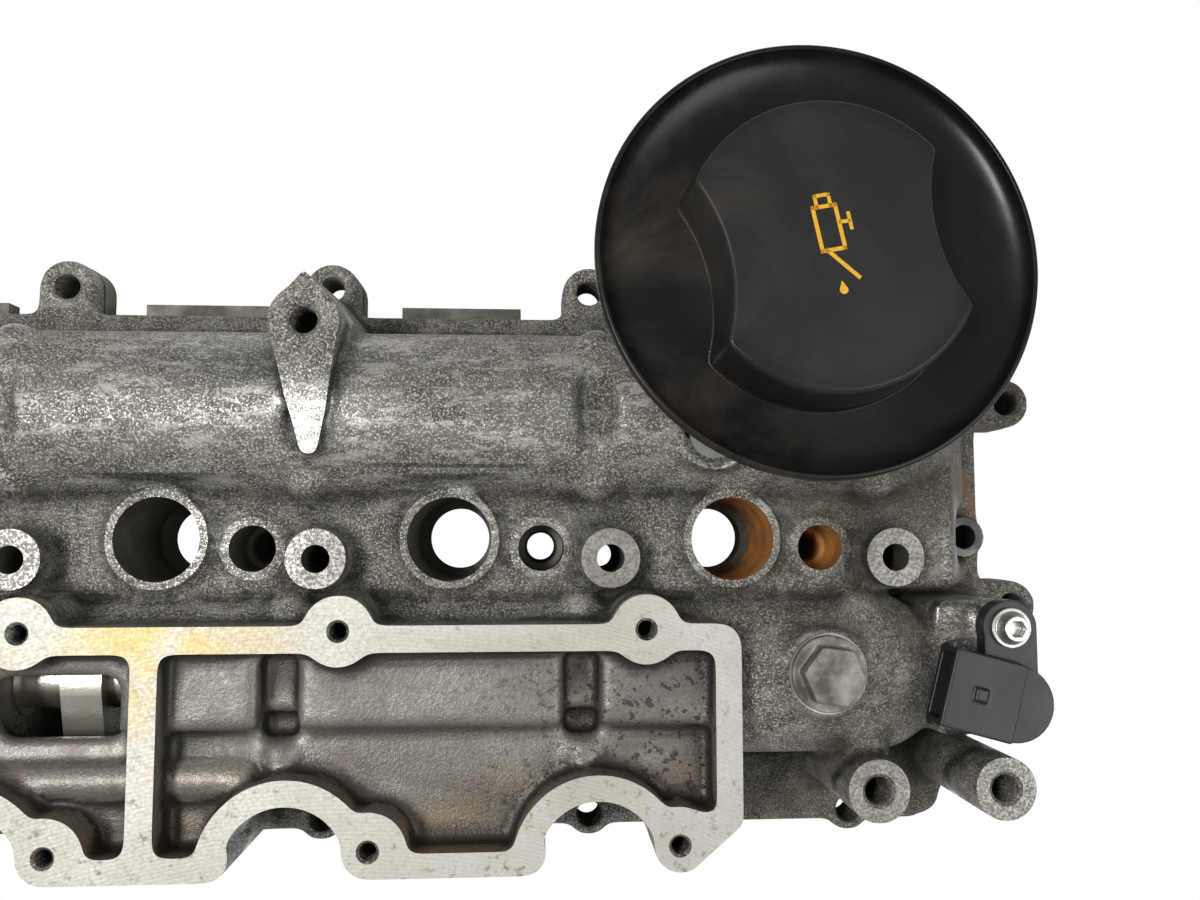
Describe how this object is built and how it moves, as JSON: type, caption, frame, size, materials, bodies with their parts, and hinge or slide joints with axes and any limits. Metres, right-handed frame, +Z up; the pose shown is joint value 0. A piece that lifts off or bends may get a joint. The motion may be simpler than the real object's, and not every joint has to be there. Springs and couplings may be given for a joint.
{
  "type": "engine valve cover",
  "caption": "Cast aluminium camshaft cover of a four-cylinder engine, with camshafts in a bearing ladder, gasket frame, position sensor and leaning oil filler cap.",
  "frame": {"origin": "axis of the third injector well from the left, in the plane of the face that seals on the cylinder head", "axes": "+X along the engine towards the filler cap end, +Y across the engine towards the exhaust side, +Z up out of the engine"},
  "size_m": [0.4742, 0.244, 0.1351],
  "materials": {
    "casting": "rough",
    "ladder": "satin",
    "camshaft": "satin",
    "plated_steel": "satin",
    "dark_steel": "satin",
    "plug_metal": "rough",
    "washer": "satin",
    "cap_plastic": "matte",
    "insert_plastic": "matte",
    "sensor_plastic": "satin",
    "terminal": "satin",
    "rubber": "matte"
  },
  "bodies": {
    "cover": {"cover_casting": "casting", "bearing_ladder": "ladder", "ladder_screw_01": "plated_steel", "ladder_screw_02": "plated_steel", "ladder_screw_03": "plated_steel", "ladder_screw_04": "plated_steel", "ladder_screw_05": "plated_steel", "ladder_screw_06": "plated_steel", "ladder_screw_07": "plated_steel", "ladder_screw_08": "plated_steel", "ladder_screw_09": "plated_steel", "ladder_screw_10": "plated_steel", "ladder_screw_11": "plated_steel", "ladder_screw_12": "plated_steel", "ladder_screw_13": "plated_steel", "ladder_screw_14": "plated_steel", "ladder_screw_15": "plated_steel", "ladder_screw_16": "plated_steel", "ladder_screw_17": "plated_steel", "ladder_screw_18": "plated_steel", "ladder_screw_19": "plated_steel", "ladder_screw_20": "plated_steel", "camshaft_seal": "rubber", "oil_filler_neck": "insert_plastic", "neck_seal": "rubber", "neck_screw_1": "plated_steel", "neck_screw_2": "plated_steel", "plug_washer": "washer", "screw_plug": "plug_metal", "socket_plug": "plated_steel", "guide_sleeve": "dark_steel", "position_sensor": "sensor_plastic", "sensor_oring": "rubber", "sensor_terminal_1": "terminal", "sensor_terminal_2": "terminal", "sensor_terminal_3": "terminal", "sensor_sleeve": "plated_steel", "sensor_screw": "plated_steel"},
    "intake_camshaft": {"camshaft_intake": "camshaft", "sensor_wheel": "plated_steel"},
    "exhaust_camshaft": {"camshaft_exhaust": "camshaft"},
    "filler_closure": {"filler_cap": "cap_plastic", "cap_insert": "insert_plastic", "cap_seal": "rubber"}
  },
  "joints": [
    {"name": "intake_camshaft_turn", "type": "hinge", "parent": "cover", "child": "intake_camshaft", "pos_m": [0, -0.0447, 0.039], "axis": [1, 0, 0], "continuous": true},
    {"name": "exhaust_camshaft_turn", "type": "hinge", "parent": "cover", "child": "exhaust_camshaft", "pos_m": [0, 0.041, 0.039], "axis": [1, 0, 0], "continuous": true},
    {"name": "filler_cap_turn", "type": "hinge", "parent": "cover", "child": "filler_closure", "pos_m": [0.1055, 0.0776, 0.1201], "axis": [0.0294, 0.0765, 0.9966], "range_deg": [0, 90]}
  ]
}
